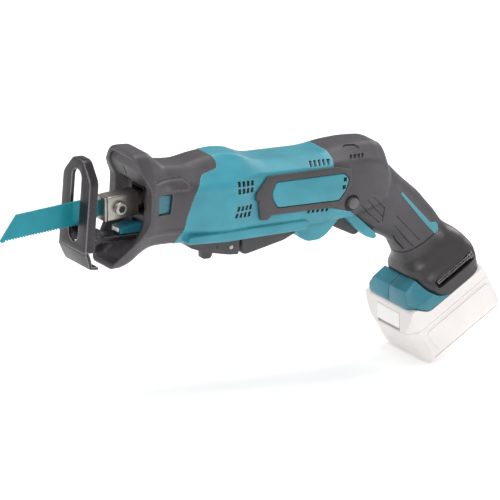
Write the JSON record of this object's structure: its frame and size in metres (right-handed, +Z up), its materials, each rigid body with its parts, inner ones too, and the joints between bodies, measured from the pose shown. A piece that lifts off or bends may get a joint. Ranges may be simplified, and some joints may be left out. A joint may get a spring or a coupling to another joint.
{
  "type": "cordless reciprocating saw",
  "caption": "Compact cordless reciprocating saw with a tilting shoe, clamped blade, rubber grips and a slide-on battery.",
  "frame": {"origin": "on the shoe's front face, on the flat pad below its slot, in the tool's middle plane", "axes": "+X from the blade to the rear, along the housing; +Z up; the tool's left side is -Y"},
  "size_m": [0.4325, 0.066, 0.1893],
  "materials": {
    "teal": "moulded fine-texture polyamide",
    "rubber": "soft overmould, satin",
    "dark_plastic": "moulded, fine texture",
    "black_plastic": "semi-gloss moulded",
    "carbon": "pressed carbon",
    "dark_steel": "black painted pressed steel",
    "steel": "machined, satin",
    "blade_paint": "painted spring steel",
    "aluminium": "die-cast",
    "bronze": "sintered",
    "copper": "turned",
    "lens": "clear moulded lens",
    "battery_shell": "pale moulded",
    "battery_release": "pale moulded",
    "cell_wrap": "plastic-wrapped steel cell"
  },
  "bodies": {
    "frame": {"housing_left": "teal", "housing_right": "teal", "inlay_left": "teal", "inlay_right": "teal", "nose_block": "teal", "adapter_left": "teal", "adapter_right": "teal", "grip_left": "rubber", "grip_right": "rubber", "front_boot": "rubber", "panel_left": "dark_plastic", "panel_right": "dark_plastic", "paddle_bracket": "dark_plastic", "foot_left": "black_plastic", "foot_right": "black_plastic", "end_bell": "black_plastic", "switch_module": "black_plastic", "terminal_block": "black_plastic", "brush_left": "carbon", "brush_right": "carbon", "shoe_arm": "dark_steel", "motor_can": "dark_steel", "shoe_pivot_pin": "steel", "gear_spindle": "steel", "latch_pin": "steel", "paddle_pin": "steel", "housing_screw_1": "steel", "housing_screw_2": "steel", "housing_screw_3": "steel", "housing_screw_4": "steel", "gear_case": "aluminium", "gear_cover": "aluminium", "slider_bush": "bronze", "front_bearing": "bronze", "lamp_lens": "lens"},
    "shoe": {"shoe": "dark_steel"},
    "slider": {"blade": "blade_paint", "blade_clamp": "steel", "clamp_front_plate": "steel", "slider_shaft": "steel", "slider_yoke": "steel"},
    "clamp_bolt": {"clamp_bolt": "steel"},
    "crank": {"crank_gear": "steel", "crank_pin": "steel"},
    "rotor": {"rotor_shaft": "steel", "rotor_core": "dark_steel", "commutator": "copper", "cooling_fan": "black_plastic", "pinion": "steel"},
    "trigger": {"trigger": "dark_plastic"},
    "lock_button": {"lock_off_button": "dark_plastic"},
    "paddle": {"paddle": "dark_plastic"},
    "latch": {"paddle_latch": "dark_plastic"},
    "battery": {"battery_cover": "battery_shell", "battery_case": "battery_shell", "battery_cell_1": "cell_wrap", "battery_cell_2": "cell_wrap", "battery_cell_3": "cell_wrap"},
    "battery_button": {"battery_button": "battery_release"},
    "hex_key": {"hex_key": "dark_steel"}
  },
  "joints": [
    {"name": "blade_stroke", "type": "slide", "parent": "frame", "child": "slider", "axis": [0.9954, 0, 0.0958], "range_m": [0, 0.013]},
    {"name": "clamp_bolt_turn", "type": "hinge", "parent": "slider", "child": "clamp_bolt", "pos_m": [0.03434, 0, 0.02751], "axis": [0, 1, 0], "range_deg": [0, 360]},
    {"name": "rotor_spin", "type": "hinge", "parent": "frame", "child": "rotor", "pos_m": [0.18, 0, 0.0275], "axis": [1, 0, 0], "continuous": true},
    {"name": "crank_spin", "type": "hinge", "parent": "frame", "child": "crank", "pos_m": [0.12, 0, 0.023], "axis": [0, 0, 1], "continuous": true},
    {"name": "shoe_tilt", "type": "hinge", "parent": "frame", "child": "shoe", "pos_m": [0.014, 0, 0.0065], "axis": [0, 1, 0], "range_deg": [-12, 10]},
    {"name": "trigger_pull", "type": "slide", "parent": "frame", "child": "trigger", "axis": [0.5, 0, 0.866], "range_m": [0, 0.005], "stiffness_N_per_m": 1200, "springref_m": -0.002},
    {"name": "lock_off_push", "type": "slide", "parent": "frame", "child": "lock_button", "axis": [0, 1, 0], "range_m": [0, 0.005], "stiffness_N_per_m": 600, "springref_m": -0.002},
    {"name": "paddle_squeeze", "type": "hinge", "parent": "frame", "child": "paddle", "pos_m": [0.192, 0, -0.0035], "axis": [0, 1, 0], "range_deg": [0, 6], "stiffness_Nm_per_rad": 2, "springref_deg": -2.86},
    {"name": "latch_flip", "type": "hinge", "parent": "frame", "child": "latch", "pos_m": [0.1205, 0, -0.011], "axis": [0, 1, 0], "range_deg": [0, 20], "stiffness_Nm_per_rad": 0.05, "springref_deg": -5.73},
    {"name": "battery_slide", "type": "slide", "parent": "frame", "child": "battery", "axis": [-0.829, 0, -0.5592], "range_m": [0, 0.075]},
    {"name": "battery_release", "type": "slide", "parent": "battery", "child": "battery_button", "axis": [0.5592, 0, -0.829], "range_m": [0, 0.003], "stiffness_N_per_m": 800, "springref_m": -0.002},
    {"name": "hex_key_lift", "type": "slide", "parent": "frame", "child": "hex_key", "axis": [0, -1, 0], "range_m": [0, 0.014]}
  ],
  "couplings": [
    {"joint": "crank_spin", "follows": "rotor_spin", "ratio": 0.2}
  ]
}
